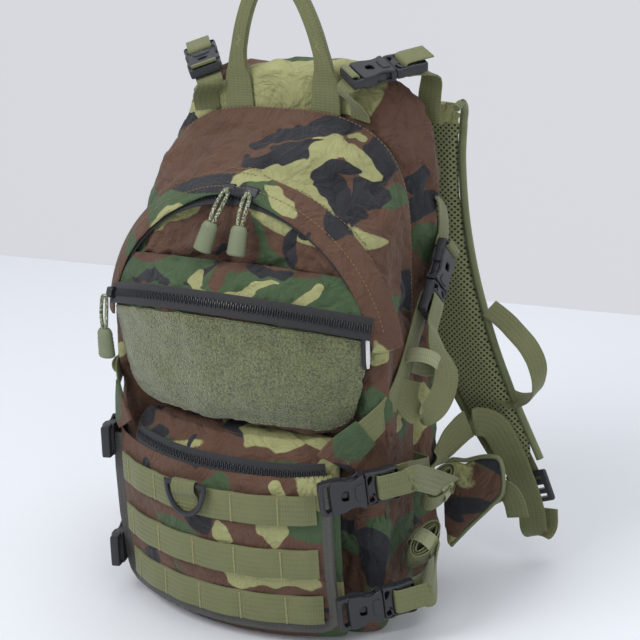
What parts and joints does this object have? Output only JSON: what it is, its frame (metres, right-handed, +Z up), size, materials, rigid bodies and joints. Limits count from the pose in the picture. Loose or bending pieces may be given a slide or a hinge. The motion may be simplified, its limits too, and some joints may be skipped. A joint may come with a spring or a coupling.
{
  "type": "hydration pack",
  "caption": "Small hydration backpack with reservoir sleeve, arched main zipper, front pocket, buckled front flap, webbing rows, padded shoulder straps and hip wings.",
  "frame": {"origin": "on the ground under the pack, on its left-right centre line, where the flat bottom of the main compartment rests", "axes": "+X to the right seen from the front, -Y the front with the pockets, +Y the wearer's side, +Z up"},
  "size_m": [0.393, 0.249, 0.5125],
  "materials": {
    "camouflage_cloth": "woven camouflage cloth in brown, black, green and tan shapes",
    "olive_webbing": "woven olive nylon webbing",
    "hook_loop_cloth": "napped olive loop pile",
    "buckle_plastic": "moulded dark grey acetal",
    "cap_plastic": "moulded black plastic",
    "slider_metal": "black painted zinc",
    "pull_cord": "speckled cord with an olive moulded grip",
    "zipper_tape": "black coil zipper tape",
    "spacer_mesh": "olive open spacer mesh",
    "reservoir_film": "translucent welded film"
  },
  "bodies": {
    "root": {"hydration_sleeve": "camouflage_cloth", "back_pad": "spacer_mesh", "hydration_reservoir": "reservoir_film", "main_compartment": "camouflage_cloth", "front_pocket": "camouflage_cloth", "hook_loop_panel": "hook_loop_cloth", "lower_pocket": "camouflage_cloth", "base_webbing": "olive_webbing", "main_zipper": "zipper_tape", "pocket_zipper": "zipper_tape", "top_buckle_socket_left": "buckle_plastic", "top_strap_front_left": "olive_webbing", "side_buckle_socket_left": "buckle_plastic", "side_strap_upper_left": "olive_webbing", "top_buckle_socket_right": "buckle_plastic", "top_strap_front_right": "olive_webbing", "side_buckle_socket_right": "buckle_plastic", "side_strap_upper_right": "olive_webbing"},
    "flap": {"front_flap": "camouflage_cloth", "flap_webbing_top": "olive_webbing", "flap_webbing_middle": "olive_webbing", "flap_webbing_bottom": "olive_webbing", "d_ring_tab": "olive_webbing", "flap_upper_buckle_socket_left": "buckle_plastic", "flap_lower_buckle_socket_left": "buckle_plastic", "flap_upper_buckle_socket_right": "buckle_plastic", "flap_lower_buckle_socket_right": "buckle_plastic"},
    "handle": {"carry_handle": "olive_webbing"},
    "d_ring": {"d_ring": "buckle_plastic"},
    "reservoir_cap": {"reservoir_cap": "cap_plastic"},
    "pocket_slider": {"pocket_slider": "slider_metal"},
    "pocket_pull": {"pocket_pull": "pull_cord"},
    "main_slider_left": {"main_slider_left": "slider_metal"},
    "main_pull_left": {"main_pull_left": "pull_cord"},
    "top_plug_left": {"top_buckle_plug_left": "buckle_plastic", "top_strap_rear_left": "olive_webbing"},
    "side_plug_left": {"side_buckle_plug_left": "buckle_plastic", "side_strap_lower_left": "olive_webbing"},
    "flap_upper_plug_left": {"flap_upper_buckle_plug_left": "buckle_plastic", "flap_upper_strap_left": "olive_webbing"},
    "flap_lower_plug_left": {"flap_lower_buckle_plug_left": "buckle_plastic", "flap_lower_strap_left": "olive_webbing"},
    "shoulder_left": {"shoulder_strap_left": "spacer_mesh", "ladder_lock_left": "buckle_plastic", "lower_webbing_left": "olive_webbing"},
    "hip_left": {"hip_wing_left": "camouflage_cloth"},
    "main_slider_right": {"main_slider_right": "slider_metal"},
    "main_pull_right": {"main_pull_right": "pull_cord"},
    "top_plug_right": {"top_buckle_plug_right": "buckle_plastic", "top_strap_rear_right": "olive_webbing"},
    "side_plug_right": {"side_buckle_plug_right": "buckle_plastic", "side_strap_lower_right": "olive_webbing"},
    "flap_upper_plug_right": {"flap_upper_buckle_plug_right": "buckle_plastic", "flap_upper_strap_right": "olive_webbing"},
    "flap_lower_plug_right": {"flap_lower_buckle_plug_right": "buckle_plastic", "flap_lower_strap_right": "olive_webbing"},
    "shoulder_right": {"shoulder_strap_right": "spacer_mesh", "ladder_lock_right": "buckle_plastic", "lower_webbing_right": "olive_webbing"},
    "hip_right": {"hip_wing_right": "camouflage_cloth"}
  },
  "joints": [
    {"name": "flap_fold", "type": "hinge", "parent": "root", "child": "flap", "pos_m": [0, -0.093, 0.013], "axis": [1, 0, 0], "range_deg": [0, 18], "deforming": ["flap_upper_strap_left", "flap_upper_strap_right", "flap_lower_strap_left", "flap_lower_strap_right"]},
    {"name": "handle_fold", "type": "hinge", "parent": "root", "child": "handle", "pos_m": [0, 0.028, 0.407], "axis": [1, 0, 0], "range_deg": [0, 95]},
    {"name": "d_ring_swing", "type": "hinge", "parent": "flap", "child": "d_ring", "pos_m": [-0.018, -0.11346, 0.134], "axis": [-1, 0, 0], "range_deg": [0, 80]},
    {"name": "reservoir_cap_turn", "type": "hinge", "parent": "root", "child": "reservoir_cap", "pos_m": [0, 0.041, 0.27], "axis": [0, -1, 0], "range_deg": [0, 180]},
    {"name": "pocket_slider_travel", "type": "hinge", "parent": "root", "child": "pocket_slider", "pos_m": [0, 0.06673, 0.2044], "axis": [0, 0.4138, 0.9104], "range_deg": [0, 70]},
    {"name": "pocket_pull_swing", "type": "hinge", "parent": "pocket_slider", "child": "pocket_pull", "pos_m": [-0.11663, -0.06547, 0.25699], "axis": [-0.8131, 0.5822, 0], "range_deg": [0, 75]},
    {"name": "main_slider_travel_left", "type": "hinge", "parent": "root", "child": "main_slider_left", "pos_m": [0, -0.044, 0.228], "axis": [0, 1, 0], "range_deg": [-66, 0]},
    {"name": "main_pull_lift_left", "type": "hinge", "parent": "main_slider_left", "child": "main_pull_left", "pos_m": [-0.00322, -0.0563, 0.35082], "axis": [1, 0, 0], "range_deg": [-66, 0]},
    {"name": "top_buckle_release_left", "type": "slide", "parent": "root", "child": "top_plug_left", "axis": [-0.6008, 0.7885, 0.1314], "range_m": [0, 0.024], "deforming": ["top_strap_rear_left"]},
    {"name": "side_buckle_release_left", "type": "slide", "parent": "root", "child": "side_plug_left", "axis": [-0.0228, -0.668, -0.7439], "range_m": [0, 0.024], "deforming": ["side_strap_lower_left"]},
    {"name": "flap_upper_buckle_release_left", "type": "slide", "parent": "flap", "child": "flap_upper_plug_left", "axis": [-0.296, 0.9539, -0.0493], "range_m": [0, 0.024], "deforming": ["flap_upper_strap_left"]},
    {"name": "flap_lower_buckle_release_left", "type": "slide", "parent": "flap", "child": "flap_lower_plug_left", "axis": [-0.2962, 0.9545, -0.0329], "range_m": [0, 0.024], "deforming": ["flap_lower_strap_left"]},
    {"name": "shoulder_strap_swing_left", "type": "hinge", "parent": "root", "child": "shoulder_left", "pos_m": [-0.097, 0.088, 0.398], "axis": [1, 0, 0], "range_deg": [0, 40], "deforming": ["lower_webbing_left"]},
    {"name": "hip_wing_fold_left", "type": "hinge", "parent": "root", "child": "hip_left", "pos_m": [-0.1165, 0.0735, 0.06], "axis": [0, 0, -1], "range_deg": [-15, 30]},
    {"name": "main_slider_travel_right", "type": "hinge", "parent": "root", "child": "main_slider_right", "pos_m": [0, -0.044, 0.228], "axis": [0, 1, 0], "range_deg": [0, 62]},
    {"name": "main_pull_lift_right", "type": "hinge", "parent": "main_slider_right", "child": "main_pull_right", "pos_m": [0.01604, -0.0563, 0.34981], "axis": [-1, 0, 0], "range_deg": [0, 62]},
    {"name": "top_buckle_release_right", "type": "slide", "parent": "root", "child": "top_plug_right", "axis": [0.6008, 0.7885, 0.1314], "range_m": [0, 0.024], "deforming": ["top_strap_rear_right"]},
    {"name": "side_buckle_release_right", "type": "slide", "parent": "root", "child": "side_plug_right", "axis": [0.0228, -0.668, -0.7439], "range_m": [0, 0.024], "deforming": ["side_strap_lower_right"]},
    {"name": "flap_upper_buckle_release_right", "type": "slide", "parent": "flap", "child": "flap_upper_plug_right", "axis": [0.6805, 0.7269, 0.0928], "range_m": [0, 0.024], "deforming": ["flap_upper_strap_right"]},
    {"name": "flap_lower_buckle_release_right", "type": "slide", "parent": "flap", "child": "flap_lower_plug_right", "axis": [0.672, 0.7346, 0.0938], "range_m": [0, 0.024], "deforming": ["flap_lower_strap_right"]},
    {"name": "shoulder_strap_swing_right", "type": "hinge", "parent": "root", "child": "shoulder_right", "pos_m": [0.097, 0.088, 0.398], "axis": [1, 0, 0], "range_deg": [0, 40], "deforming": ["lower_webbing_right"]},
    {"name": "hip_wing_fold_right", "type": "hinge", "parent": "root", "child": "hip_right", "pos_m": [0.1165, 0.0735, 0.06], "axis": [0, 0, 1], "range_deg": [-15, 30]}
  ],
  "couplings": [
    {"joint": "main_pull_lift_left", "follows": "main_slider_travel_left", "ratio": 1},
    {"joint": "main_pull_lift_right", "follows": "main_slider_travel_right", "ratio": 1}
  ]
}
